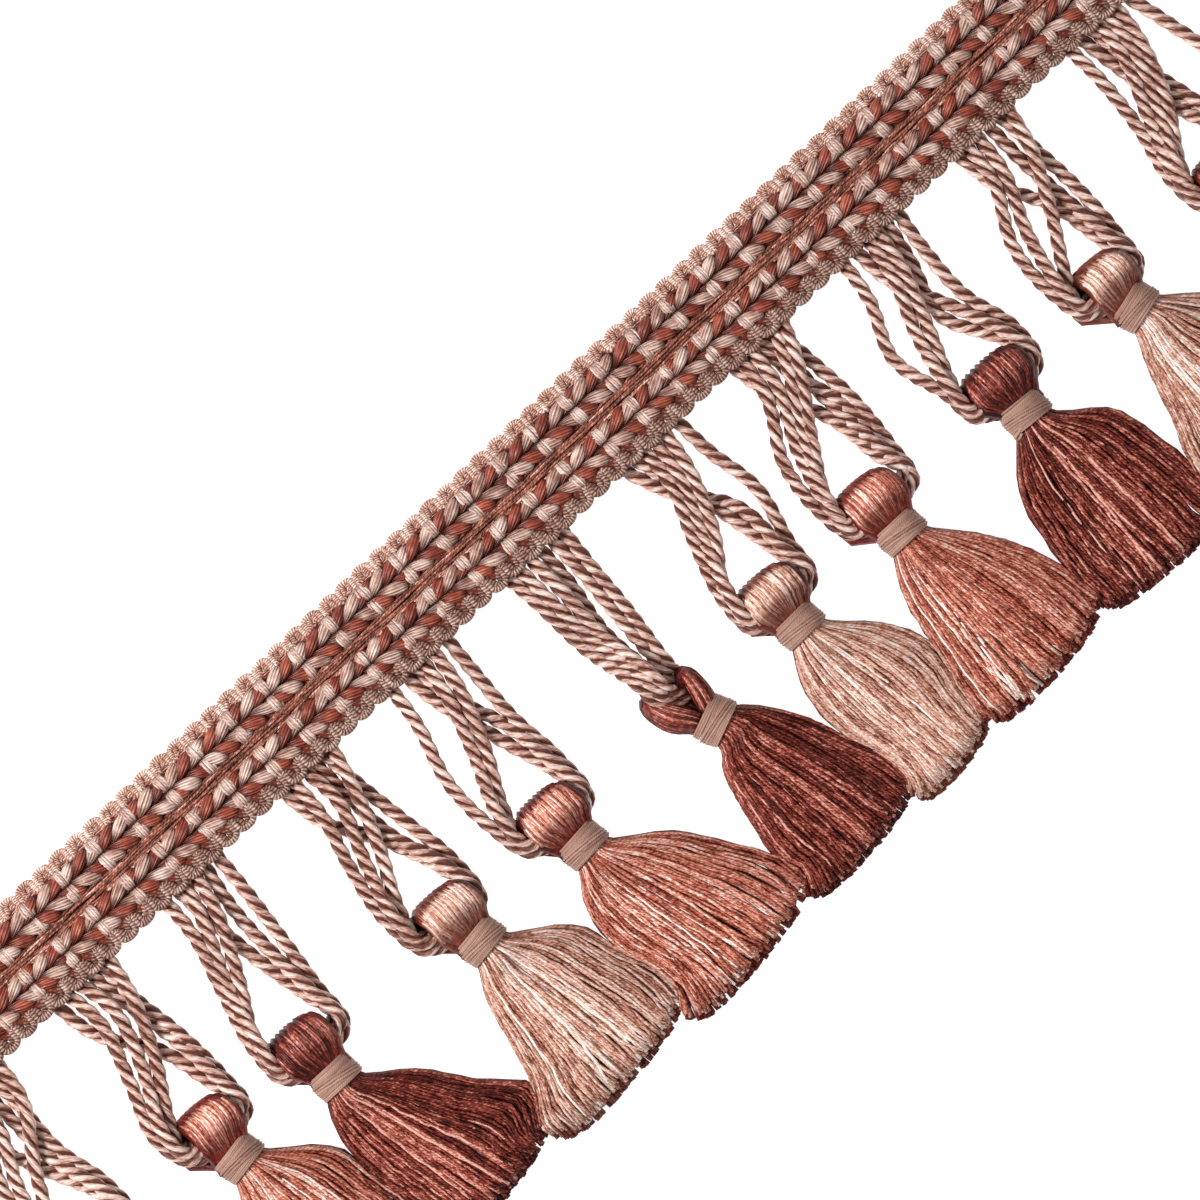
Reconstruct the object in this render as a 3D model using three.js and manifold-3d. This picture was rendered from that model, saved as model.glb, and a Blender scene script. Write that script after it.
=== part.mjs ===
// Tassel fringe trim: a braided heading, cord loops sewn behind its lower edge, and folded tassels.
// Sizes are millimetres. The trim lies on its back on the plane z = 0.
// +X runs along the heading, +Y towards its upper edge, +Z out of its face.

import * as THREE from "three";
import { mergeVertices } from "three/addons/utils/BufferGeometryUtils.js";
import Module from "manifold-3d";

const wasm = await Module();
wasm.setup();

// Driving sizes
const pieceGap = 0.32;
const loftSides = 8;

// The rebate is the step behind the heading's lower edge where the cord ends are sewn in.
const heading = {
  length: 341,
  faceTop: 9.4,
  rebateTop: -7.4,
  lipEnd: -9.6,
  rebateCeiling: 3.4,
  lipCeiling: 4.5,
  lipThickness: 1.2,
};

// The heading's face from its upper edge down over the two rows of braid, as [y, z].
const headingFace = [
  [heading.faceTop, 2.4],
  [8.4, 4],
  [5.2, 5.3],
  [1.6, 4.2],
  [0, 3.7],
  [-1.4, 4.2],
  [-4.6, 5.3],
  [-8.2, 5.1],
];

const scallop = {
  pitch: 4.625,
  reach: 11.9,
  notch: 10.7,
  root: 8.7,
  crestShare: 0.5,
};
const scallopLevels = {
  upper: { low: 0.2, thick: 1.9 },
  lower: { low: heading.lipCeiling + 0.1, thick: 1.1 },
};

const cord = { diameter: 3, sides: 8 };
const cordRest = cord.diameter / 2 + 0.06;

const neck = { radius: 3.9, centreZ: 5 };
const tie = { height: 5.2, thickness: 0.8, bulge: 0.25 };

// The eye is the space inside a head's fold. Its line runs from a left mouth to a right one.
const eye = { radius: 3.5, packRadius: 1.78, below: 5.9, past: 5, leftZ: 7.2, rightZ: 4 };
const mouth = { inFromLegs: 0.6, outFromHead: 1.2 };

// Places that a leg of a cord loop passes, from the heading's lip down to the tassel's head.
// Left legs lie over right legs where they cross.
const legStations = [
  { place: "lip", y: heading.rebateTop - 1.1, leftZ: cordRest, rightZ: cordRest },
  { place: "crossing", y: -20, leftZ: 4.5, rightZ: cordRest },
  { place: "belly", y: -32, leftZ: 3.9, rightZ: cordRest },
  { place: "head", y: -44, leftZ: 7.2, rightZ: 2.9 },
];

// Sections of a tassel's folded head. along runs from the fold (0) to the tie (1).
// Towards the tie the sections swing over the neck by the share headFollow.
const headSections = [
  { along: 0, width: 0.42, depth: 0.34 },
  { along: 0.15, width: 0.82, depth: 0.78 },
  { along: 0.48, width: 1, depth: 1 },
  { along: 0.84, width: 0.94, depth: 0.93 },
];
const headDepth = 11;
const headBack = 0.1;
const headFollow = 0.6;

// Levels at which the skirts' edges are given, with the thickness of the yarn there.
const skirtLevels = {
  flare: { y: -67.6, depth: 6.4 },
  middle: { y: -79.6, depth: 4.6 },
  low: { y: -88.8, depth: 3.6 },
  foot: { y: -94.6, depth: 3.1 },
  hem: { depth: 2.8 },
};
const skirtSquareness = 0.5;

// Turns a table with named columns into one object per row, found by its first column.
function tableOf(columns, rows) {
  const entries = rows.map((row) => [row[0], Object.fromEntries(columns.map((c, i) => [c, row[i]]))]);
  return new Map(entries);
}

// Tassels from left to right. at is the place on the heading, and the other places count from it.
// backShift is how far the back half of the hank peeks out to the left of the front half.
const tassels = tableOf(
  ["name", "yarn", "at", "headX", "headWidth", "headTop", "backShift", "tieX", "tieY", "tieTurn"],
  [
    ["00", "cream", -156, 0.6, 10.8, -46.0, 2.6, -0.6, -58.8, 5],
    ["01", "coral", -125, 0.8, 10.4, -44.8, 4.4, -0.8, -58.1, 9],
    ["02", "rust", -95, -5.7, 12.2, -46.0, 2.0, -5.8, -59.4, -1],
    ["03", "cream", -63, 2.0, 11.6, -46.6, 3.0, 2.0, -59.8, 8],
    ["04", "coral", -32, -1.2, 12.4, -46.6, 1.6, -1.0, -59.8, 5],
    ["05", "rust", 0, 0.4, 12.8, -47.0, 0.0, 3.2, -59.8, 22],
    ["06", "cream", 32, -2.9, 12.2, -45.0, 2.4, -3.6, -57.6, 2],
    ["07", "coral", 61, -4.0, 11.6, -44.8, 3.4, -5.0, -57.9, 0],
    ["08", "rust", 93, -1.8, 13.6, -44.8, 1.4, -2.6, -57.6, -4],
    ["09", "cream", 124, -2.5, 10.0, -44.8, 5.0, -3.1, -57.4, 14],
    ["10", "coral", 154, -0.6, 12.0, -46.0, 2.4, -1.4, -58.6, 3],
  ],
);

// The head seen edge on, with its eye facing out and the right legs of its cords behind it.
const edgeOn = { name: "05", back: 3.5, depth: 7.2, frontZ: 12.4, frontX: -1.4, behindX: 2.6 };

// Left and right edges of each skirt. Neighbours that meet are left a little apart.
const skirts = tableOf(
  ["name", "flareL", "flareR", "middleL", "middleR", "lowL", "lowR", "footL", "footR", "hemL", "hemR"],
  [
    ["00", -8.0, 12.0, -10.8, 16.4, -12.2, 17.8, -12.6, 18.2, -12.0, 17.0],
    ["01", -7.6, 12.4, -10.8, 16.0, -12.2, 17.4, -12.4, 17.8, -11.8, 17.0],
    ["02", -12.6, 4.4, -13.6, 14.2, -12.2, 21.6, -11.8, 18.2, -11.6, 16.6],
    ["03", -4.2, 14.4, -7.6, 20.6, -10.0, 23.2, -13.4, 23.2, -12.2, 20.6],
    ["04", -8.0, 10.4, -10.0, 20.0, -7.4, 25.0, -7.4, 26.0, -9.6, 23.4],
    ["05", -1.7, 14.0, -5.2, 19.4, -6.6, 22.4, -5.6, 22.8, -7.4, 19.6],
    ["06", -11.2, 7.6, -11.8, 13.2, -9.2, 11.6, -8.8, 11.0, -10.4, 10.0],
    ["07", -12.9, 4.7, -15.4, 11.6, -17.0, 13.6, -17.6, 13.8, -17.0, 11.6],
    ["08", -13.2, 9.0, -17.0, 13.2, -18.0, 14.4, -17.8, 14.4, -16.2, 12.0],
    ["09", -9.2, 11.4, -13.0, 16.6, -16.2, 19.0, -16.2, 19.4, -14.6, 18.0],
    ["10", -9.4, 9.0, -12.4, 13.2, -10.4, 15.0, -10.0, 15.4, -10.0, 14.6],
  ],
);

// Where each skirt's cut edge starts on the left and ends on the right.
const hems = tableOf(
  ["name", "leftY", "rightY"],
  [
    ["00", -99.2, -97.0],
    ["01", -99.8, -97.4],
    ["02", -99.8, -95.8],
    ["03", -100.4, -96.2],
    ["04", -101.0, -96.8],
    ["05", -99.4, -96.4],
    ["06", -99.6, -97.2],
    ["07", -99.0, -96.4],
    ["08", -97.8, -98.6],
    ["09", -98.6, -96.8],
    ["10", -99.2, -97.2],
  ],
);

// Cord loops of each tassel. A leg's four places match legStations and count from the tassel's place.
const loops = {
  "00": [
    { left: [-3.6, -4.6, -9.0, -10.4], right: [5.0, 5.2, 4.8, 7.2] },
    { left: [-0.8, -0.4, -6.0, -8.6], right: [2.0, 2.2, 2.6, 6.0] },
    { left: [8.0, 6.6, -1.2, -6.8], right: [-6.6, -5.2, -0.4, 4.8] },
  ],
  "01": [
    { left: [-3.8, -2.6, -6.3, -10.4], right: [5.2, 5.6, 7.3, 7.8] },
    { left: [-1.0, 1.2, -2.7, -8.3], right: [2.4, 3.8, 5.9, 7.0] },
    { left: [7.8, 5.7, 0.6, -6.4], right: [-6.8, -5.2, 2.4, 5.3] },
  ],
  "02": [
    { left: [-6.4, -7.1, -10.6, -13.7], right: [7.4, 6.6, 5.3, 3.8] },
    { left: [-0.4, -4.1, -9.2, -12.1], right: [4.6, 2.4, 1.9, 2.5] },
    { left: [2.0, -0.7, -6.4, -12.8], right: [-3.4, -2.5, -1.1, 1.2] },
  ],
  "03": [
    { left: [-3.6, -4.0, -7.2, -9.0], right: [4.6, 5.6, 7.3, 8.9] },
    { left: [-0.7, 0.4, -3.9, -7.2], right: [2.1, 2.5, 3.3, 7.2] },
    { left: [7.4, 4.5, 0.1, -5.6], right: [-6.4, -5.1, 1.7, 6.2] },
  ],
  "04": [
    { left: [-7.4, -8.7, -12.1, -12.0], right: [7.6, 6.8, 6.2, 7.2] },
    { left: [1.2, -0.5, -4.6, -9.2], right: [-1.3, -0.1, 4.2, 5.9] },
    { left: [4.0, 2.5, -1.9, -7.8], right: [-4.0, -2.5, 1.0, 4.6] },
  ],
  "05": [
    { left: [-7.6, -6.5, -5.8, -3.2], right: [1.4, 1.5, 0.6, 1.2] },
    { left: [-4.6, -4.3, -3.6, -1.4], right: [4.3, 4.2, 3.4, 2.8] },
    { left: [-1.6, -1.3, -1.6, 0.2], right: [7.4, 6.4, 5.6, 4.2] },
  ],
  "06": [
    { left: [-1.8, -3.0, -7.7, -11.2], right: [6.6, 7.3, 9.1, 6.4] },
    { left: [0.9, -0.6, -5.5, -9.6], right: [-8.6, -4.4, 3.8, 4.6] },
    { left: [3.6, 1.8, -3.0, -10.7], right: [-5.4, -2.0, 1.2, 3.4] },
  ],
  "07": [
    { left: [-4.4, -6.0, -12.6, -14.0], right: [4.2, 5.4, 6.3, 5.4] },
    { left: [-1.8, -3.0, -8.8, -12.0], right: [1.4, 2.2, 2.6, 3.6] },
    { left: [6.0, 0.4, -6.8, -11.5], right: [-7.0, -5.0, 0.5, 2.2] },
    { left: [8.0, 2.8, -5.0, -11.9], right: [0.2, 1.0, 4.4, 4.4] },
  ],
  "08": [
    { left: [-8.2, -9.8, -14.4, -11.6], right: [6.8, 5.2, 4.8, 7.6] },
    { left: [-1.4, -3.2, -7.8, -10.3], right: [-5.0, -4.1, 1.4, 5.8] },
    { left: [1.2, -0.8, -5.0, -9.6], right: [3.9, 1.6, -1.5, 4.4] },
  ],
  "09": [
    { left: [-5.2, -6.6, -12.6, -13.4], right: [3.4, 4.1, 4.9, 4.4] },
    { left: [-2.4, -3.8, -8.7, -11.4], right: [0.5, 0.6, 1.6, 2.8] },
    { left: [6.2, 3.5, -2.2, -9.4], right: [-8.0, -6.8, -0.8, 1.4] },
  ],
  "10": [
    { left: [-7.4, -7.1, -8.1, -10.6], right: [7.6, 10.6, 12.6, 8.4] },
    { left: [0.9, -0.6, -5.3, -9.5], right: [-1.6, 0.0, 3.2, 5.4] },
    { left: [3.3, 1.8, -2.7, -8.5], right: [-4.6, -2.7, -0.5, 4.2] },
    { left: [5.6, 4.0, -0.4, -7.7], right: [2.4, 1.9, 1.6, 6.4] },
  ],
};

// Finishes
function yarnFinish(color, roughness) {
  return new THREE.MeshStandardMaterial({ color, roughness, metalness: 0 });
}

const finishes = {
  heading: yarnFinish(0x9b7263, 0.85),
  cord: yarnFinish(0xc9a69a, 0.7),
  tie: yarnFinish(0xad8877, 0.75),
  cream: yarnFinish(0xc79a88, 0.6),
  coral: yarnFinish(0xb87a66, 0.6),
  rust: yarnFinish(0x7a3f34, 0.6),
};

// Solids
function solidOf(geometry) {
  const bare = geometry.clone();
  bare.deleteAttribute("normal");
  bare.deleteAttribute("uv");
  const merged = mergeVertices(bare, 1e-4);
  return new wasm.Manifold(
    new wasm.Mesh({
      numProp: 3,
      vertProperties: merged.attributes.position.array,
      triVerts: new Uint32Array(merged.index.array),
    }),
  );
}

function geometryOf(solid) {
  const { vertProperties, triVerts } = solid.getMesh();
  const geometry = new THREE.BufferGeometry();
  geometry.setAttribute("position", new THREE.BufferAttribute(vertProperties, 3));
  geometry.setIndex(new THREE.BufferAttribute(triVerts, 1));
  geometry.computeVertexNormals();
  return geometry;
}

function joined(geometries) {
  return geometries.map(solidOf).reduce((whole, piece) => whole.add(piece));
}

function meshOf(name, geometry, finish) {
  const mesh = new THREE.Mesh(geometry, finish);
  mesh.name = name;
  return mesh;
}

// A closed skin over rings of points, each ring running the same way round.
function loft(rings) {
  const count = rings[0].length;
  const points = rings.flat();
  const faces = [];
  for (let ring = 1; ring < rings.length; ring += 1) {
    for (let i = 0; i < count; i += 1) {
      const next = (i + 1) % count;
      const above = (ring - 1) * count;
      const below = ring * count;
      faces.push(above + i, above + next, below + i);
      faces.push(above + next, below + next, below + i);
    }
  }
  const last = (rings.length - 1) * count;
  for (let i = 1; i < count - 1; i += 1) {
    faces.push(0, i + 1, i);
    faces.push(last, last + i, last + i + 1);
  }
  const geometry = new THREE.BufferGeometry().setFromPoints(points);
  geometry.setIndex(faces);
  return geometry;
}

// One ring across a tassel: an ellipse at squareness 1, nearer a box below that.
// Its flats lie at half the width and half the depth. Its back is moved left by backShift.
function crossRing({ x, y, z, width, depth, turn = 0, squareness = 1, backShift = 0 }) {
  const flat = Math.cos(Math.PI / loftSides) ** squareness;
  const bent = (value) => (Math.sign(value) * Math.abs(value) ** squareness) / flat;
  return Array.from({ length: loftSides }, (_, i) => {
    const angle = ((i + 0.5) * 2 * Math.PI) / loftSides;
    const across = (bent(Math.cos(angle)) * width) / 2;
    const up = bent(Math.sin(angle));
    const shifted = across - (backShift * (1 - up)) / 2;
    return new THREE.Vector3(
      x + shifted * Math.cos(turn),
      y + shifted * Math.sin(turn),
      z + (up * depth) / 2,
    );
  });
}

// A route whose steps fall on its own points, so that they crowd where the points do.
class PointRoute extends THREE.CatmullRomCurve3 {
  getUtoTmapping(u) {
    return u;
  }
}

function tubeAlong(points, radius, sides) {
  const outline = Array.from({ length: sides }, (_, i) => {
    const angle = ((i + 0.5) * 2 * Math.PI) / sides;
    return new THREE.Vector2(radius * Math.cos(angle), radius * Math.sin(angle));
  });
  return new THREE.ExtrudeGeometry(new THREE.Shape(outline), {
    steps: points.length - 1,
    extrudePath: new PointRoute(points),
  });
}

// Heading
// Cross-section from the upper edge round over the two ridges to the lip that hides the cord ends.
function headingBody() {
  const { faceTop, rebateTop, lipEnd, rebateCeiling, lipCeiling, lipThickness, length } = heading;
  const section = new THREE.Shape(
    [
      [faceTop, 0],
      ...headingFace,
      [lipEnd, lipCeiling + lipThickness],
      [lipEnd, lipCeiling],
      [rebateTop, rebateCeiling],
      [rebateTop, 0],
    ].map(([y, z]) => new THREE.Vector2(y, z)),
  );
  const body = new THREE.ExtrudeGeometry(section, { depth: length, steps: 1, bevelEnabled: false });
  body.translate(0, 0, -length / 2);
  const alongHeading = new THREE.Matrix4().makeBasis(
    new THREE.Vector3(0, 1, 0),
    new THREE.Vector3(0, 0, 1),
    new THREE.Vector3(1, 0, 0),
  );
  return body.applyMatrix4(alongHeading);
}

// A strip of flat loops along an edge. side is 1 for the upper edge and -1 for the lower one.
function scallopStrip(side, { low, thick }) {
  const count = Math.round(heading.length / scallop.pitch);
  const pitch = heading.length / count;
  const start = -heading.length / 2;
  const outline = [new THREE.Vector2(start, side * scallop.root)];
  for (let i = 0; i < count; i += 1) {
    const middle = start + (i + 0.5) * pitch;
    const crest = (scallop.crestShare * pitch) / 2;
    outline.push(new THREE.Vector2(start + i * pitch, side * scallop.notch));
    outline.push(new THREE.Vector2(middle - crest, side * scallop.reach));
    outline.push(new THREE.Vector2(middle + crest, side * scallop.reach));
  }
  outline.push(new THREE.Vector2(-start, side * scallop.notch));
  outline.push(new THREE.Vector2(-start, side * scallop.root));
  const strip = new THREE.ExtrudeGeometry(new THREE.Shape(outline), {
    depth: thick,
    steps: 1,
    bevelEnabled: false,
  });
  return strip.translate(0, 0, low);
}

function makeHeading() {
  const solid = joined([
    headingBody(),
    scallopStrip(1, scallopLevels.upper),
    scallopStrip(-1, scallopLevels.lower),
  ]);
  return meshOf("heading", geometryOf(solid), finishes.heading);
}

// Cord loops
// The straight line through the eye that the loops follow, from its left mouth to its right one.
function eyeLine(tassel) {
  const y = tassel.headTop - eye.below;
  if (tassel.name === edgeOn.name) {
    return {
      left: new THREE.Vector3(edgeOn.frontX, y, edgeOn.frontZ - mouth.inFromLegs),
      right: new THREE.Vector3(edgeOn.behindX, y, cordRest + eye.packRadius / 2),
    };
  }
  const headLeft = tassel.headX - tassel.headWidth / 2;
  const outermost = headLeft - mouth.outFromHead;
  const meanHeadX = (side) => {
    const legs = loops[tassel.name].map((loop) => loop[side].at(-1));
    return legs.reduce((sum, x) => sum + x, 0) / legs.length;
  };
  return {
    left: new THREE.Vector3(Math.min(meanHeadX("left") + mouth.inFromLegs, outermost), y, eye.leftZ),
    right: new THREE.Vector3(meanHeadX("right"), y, eye.rightZ),
  };
}

function legPoints(tassel, places, side, rise = 0) {
  return legStations.map((station, i) => {
    const point = new THREE.Vector3(places[i], station.y, station[side + "Z"]);
    if (tassel.name === edgeOn.name && station.place === "head") {
      point.z = side === "left" ? edgeOn.frontZ : cordRest;
    } else if (station.place === "head") {
      point.z += rise;
    }
    return point;
  });
}

// The loops of a tassel are packed round the eye's line, the first one lowest.
function loopPoints(tassel, loop, index, count) {
  const { left, right } = eyeLine(tassel);
  const direction = right.clone().sub(left).normalize();
  const acrossEye = new THREE.Vector3(0, 1, 0);
  const upEye = direction.clone().cross(acrossEye);
  const angle = Math.PI / 2 - ((index - (count - 1) / 2) * 2 * Math.PI) / count;
  const rise = eye.packRadius * Math.sin(angle);
  const offset = acrossEye
    .multiplyScalar(eye.packRadius * Math.cos(angle))
    .addScaledVector(upEye, rise);
  return [
    ...legPoints(tassel, loop.left, "left", rise),
    left.clone().add(offset),
    right.clone().add(offset),
    ...legPoints(tassel, loop.right, "right", rise).reverse(),
  ];
}

function makeHanger(tassel) {
  const rows = loops[tassel.name];
  const tubes = rows.map((loop, i) =>
    tubeAlong(loopPoints(tassel, loop, i, rows.length), cord.diameter / 2, cord.sides),
  );
  return meshOf("hanger_" + tassel.name, geometryOf(joined(tubes)), finishes.cord);
}

// Tassels
function headRings(tassel, neckTop) {
  const isEdgeOn = tassel.name === edgeOn.name;
  const depth = isEdgeOn ? edgeOn.depth : headDepth;
  const back = isEdgeOn ? edgeOn.back : headBack;
  return headSections.map((section) => {
    const blend = section.along ** 2;
    return crossRing({
      x: THREE.MathUtils.lerp(tassel.headX, neckTop.x, blend * headFollow),
      y: THREE.MathUtils.lerp(tassel.headTop, neckTop.y, section.along),
      z: back + depth / 2,
      width: tassel.headWidth * section.width,
      depth: depth * section.depth,
      turn: neckTop.turn * blend,
      backShift: tassel.backShift * section.depth,
    });
  });
}

function neckEnds(tassel) {
  const turn = THREE.MathUtils.degToRad(tassel.tieTurn);
  const reach = tie.height / 2 + pieceGap;
  return [1, -1].map((end) => ({
    x: tassel.tieX - end * reach * Math.sin(turn),
    y: tassel.tieY + end * reach * Math.cos(turn),
    turn,
  }));
}

function skirtRings(tassel) {
  const skirt = skirts.get(tassel.name);
  const hem = hems.get(tassel.name);
  return Object.entries(skirtLevels).map(([level, { y, depth }]) => {
    const left = new THREE.Vector2(skirt[level + "L"], level === "hem" ? hem.leftY : y);
    const right = new THREE.Vector2(skirt[level + "R"], level === "hem" ? hem.rightY : y);
    return crossRing({
      x: (left.x + right.x) / 2,
      y: (left.y + right.y) / 2,
      z: depth / 2,
      width: left.distanceTo(right),
      depth,
      turn: right.sub(left).angle(),
      squareness: skirtSquareness,
    });
  });
}

// The straight way that the bundle of cords takes through the head, with its clearance.
function eyeCutter(tassel) {
  const { left, right } = eyeLine(tassel);
  const past = right.clone().sub(left).setLength(eye.past);
  const radius = (eye.radius + pieceGap) / Math.cos(Math.PI / cord.sides);
  return tubeAlong([left.sub(past), right.add(past)], radius, cord.sides);
}

function makeTassel(tassel) {
  const [neckTop, neckBottom] = neckEnds(tassel);
  const neckRings = [neckTop, neckBottom].map((end) =>
    crossRing({ ...end, z: neck.centreZ, width: 2 * neck.radius, depth: 2 * neck.radius }),
  );
  const hank = loft([...headRings(tassel, neckTop), ...neckRings, ...skirtRings(tassel)]);
  const solid = solidOf(hank).subtract(solidOf(eyeCutter(tassel)));
  return meshOf("tassel_" + tassel.name, geometryOf(solid), finishes[tassel.yarn]);
}

// A band of thread round the neck, its middle turns standing a little proud.
function makeTie(tassel) {
  const inner = (neck.radius + pieceGap) / Math.cos(Math.PI / loftSides);
  const outer = inner + tie.thickness;
  const half = tie.height / 2;
  const profile = [
    new THREE.Vector2(inner, -half),
    new THREE.Vector2(outer - tie.bulge, -half),
    new THREE.Vector2(outer, 0),
    new THREE.Vector2(outer - tie.bulge, half),
    new THREE.Vector2(inner, half),
    new THREE.Vector2(inner, -half),
  ];
  const band = new THREE.LatheGeometry(profile, loftSides).rotateY(Math.PI / loftSides);
  const mesh = meshOf("tie_" + tassel.name, band, finishes.tie);
  mesh.position.set(tassel.tieX, tassel.tieY, neck.centreZ);
  mesh.rotation.z = THREE.MathUtils.degToRad(tassel.tieTurn);
  return mesh;
}

// Assembly
const trim = new THREE.Group();
trim.add(makeHeading());
for (const tassel of tassels.values()) {
  const place = new THREE.Group();
  place.position.x = tassel.at;
  place.add(makeHanger(tassel), makeTassel(tassel), makeTie(tassel));
  trim.add(place);
}

export default trim;
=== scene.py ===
import math

import bpy
import numpy as np
from mathutils import Matrix, Vector


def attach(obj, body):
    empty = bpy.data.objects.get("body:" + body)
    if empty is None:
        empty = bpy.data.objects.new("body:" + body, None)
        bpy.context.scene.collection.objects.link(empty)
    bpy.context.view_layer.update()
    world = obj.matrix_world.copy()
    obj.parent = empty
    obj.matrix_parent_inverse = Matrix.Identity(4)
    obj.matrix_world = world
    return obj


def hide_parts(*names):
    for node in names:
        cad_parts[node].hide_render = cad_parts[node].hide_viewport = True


# Tassel fringe trim, laid on its back. +X runs along the heading, +Y to its upper edge, and
# +Z out of its face.
# Sizes in the dictionaries are millimetres; the meshes are metres.

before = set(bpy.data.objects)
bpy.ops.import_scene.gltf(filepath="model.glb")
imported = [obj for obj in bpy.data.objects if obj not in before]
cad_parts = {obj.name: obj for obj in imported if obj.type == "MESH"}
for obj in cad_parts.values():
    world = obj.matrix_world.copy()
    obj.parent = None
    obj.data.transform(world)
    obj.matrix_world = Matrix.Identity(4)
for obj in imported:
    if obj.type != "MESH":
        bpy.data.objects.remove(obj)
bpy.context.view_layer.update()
bpy.ops.object.select_all(action="DESELECT")
mm = 0.001
names = ["%02d" % i for i in range(11)]
yarns = ["cream", "coral", "rust"]
print("frame loaded:", len(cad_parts), "nodes")

view = {
    "centre": (3.0, -26.6),
    "span": 240.0,  # what the square picture takes in
    "slant": 43.37,  # the heading climbs to the right by this angle
    "lens": 400.0,
    "sensor": 36.0,
}


def makeCamera():
    slant = math.radians(view["slant"])
    right = Vector((math.cos(slant), -math.sin(slant), 0))
    up = Vector((math.sin(slant), math.cos(slant), 0))
    lens = bpy.data.cameras.new("photoView")
    lens.lens = view["lens"]
    lens.sensor_width = view["sensor"]
    camera = bpy.data.objects.new("photoView", lens)
    bpy.context.scene.collection.objects.link(camera)
    turn = Matrix((right, up, Vector((0, 0, 1)))).transposed().to_4x4()
    high = view["span"] * view["lens"] / view["sensor"]
    spot = Vector((*view["centre"], high)) * mm
    camera.matrix_world = Matrix.Translation(spot) @ turn
    bpy.context.scene.camera = camera


def unit(vectors):
    return vectors / np.maximum(np.linalg.norm(vectors, axis=-1, keepdims=True), 1e-9)


def ease(low, high, x):
    t = np.clip((x - low) / (high - low), 0, 1)
    return t * t * (3 - 2 * t)


# A smooth line through rows of values at the given knots, read at the samples.
def splineRows(values, knots, samples):
    values = np.asarray(values, float)
    knots = np.asarray(knots, float)
    slope = np.empty_like(values)
    gaps = (knots[1:] - knots[:-1]).reshape([-1] + [1] * (values.ndim - 1))
    steps = (values[1:] - values[:-1]) / gaps
    slope[0], slope[-1] = steps[0], steps[-1]
    slope[1:-1] = (steps[:-1] * gaps[1:] + steps[1:] * gaps[:-1]) / (gaps[:-1] + gaps[1:])
    span = np.clip(np.searchsorted(knots, samples, side="right") - 1, 0, len(knots) - 2)
    shape = [-1] + [1] * (values.ndim - 1)
    gap = (knots[span + 1] - knots[span]).reshape(shape)
    t = ((samples - knots[span]) / (knots[span + 1] - knots[span])).reshape(shape)
    start, end = values[span], values[span + 1]
    leaving, coming = slope[span] * gap, slope[span + 1] * gap
    return (
        (2 * t**3 - 3 * t**2 + 1) * start
        + (t**3 - 2 * t**2 + t) * leaving
        + (3 * t**2 - 2 * t**3) * end
        + (t**3 - t**2) * coming
    )


# How far along a line each of its points lies. A power below 1 evens out long and short spans.
def distances(line, power=1.0):
    spans = np.linalg.norm(np.diff(line, axis=0), axis=1) ** power
    return np.concatenate([[0], np.cumsum(spans)])


# The same line again with points a step apart, and its length.
def evenSteps(line, step):
    along = distances(line)
    at = np.linspace(0, along[-1], max(3, round(along[-1] / step) + 1))
    return np.stack([np.interp(at, along, line[:, k]) for k in range(3)], axis=1), along[-1]


def curveThrough(points, step):
    points = np.asarray(points, float)
    knots = distances(points, 0.5)
    fine = splineRows(points, knots, np.linspace(0, knots[-1], 40 * len(points)))
    return evenSteps(fine, step)


# Side and raised directions along each line, turning as little as they can.
def framesAlong(lines, up):
    tangent = unit(np.gradient(lines, axis=1))
    raised = np.empty_like(lines)
    current = np.broadcast_to(np.asarray(up, float), lines[:, 0].shape)
    for i in range(lines.shape[1]):
        ahead = tangent[:, i]
        current = unit(current - (current * ahead).sum(-1, keepdims=True) * ahead)
        raised[:, i] = current
    return np.cross(raised, tangent), raised, tangent


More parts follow.
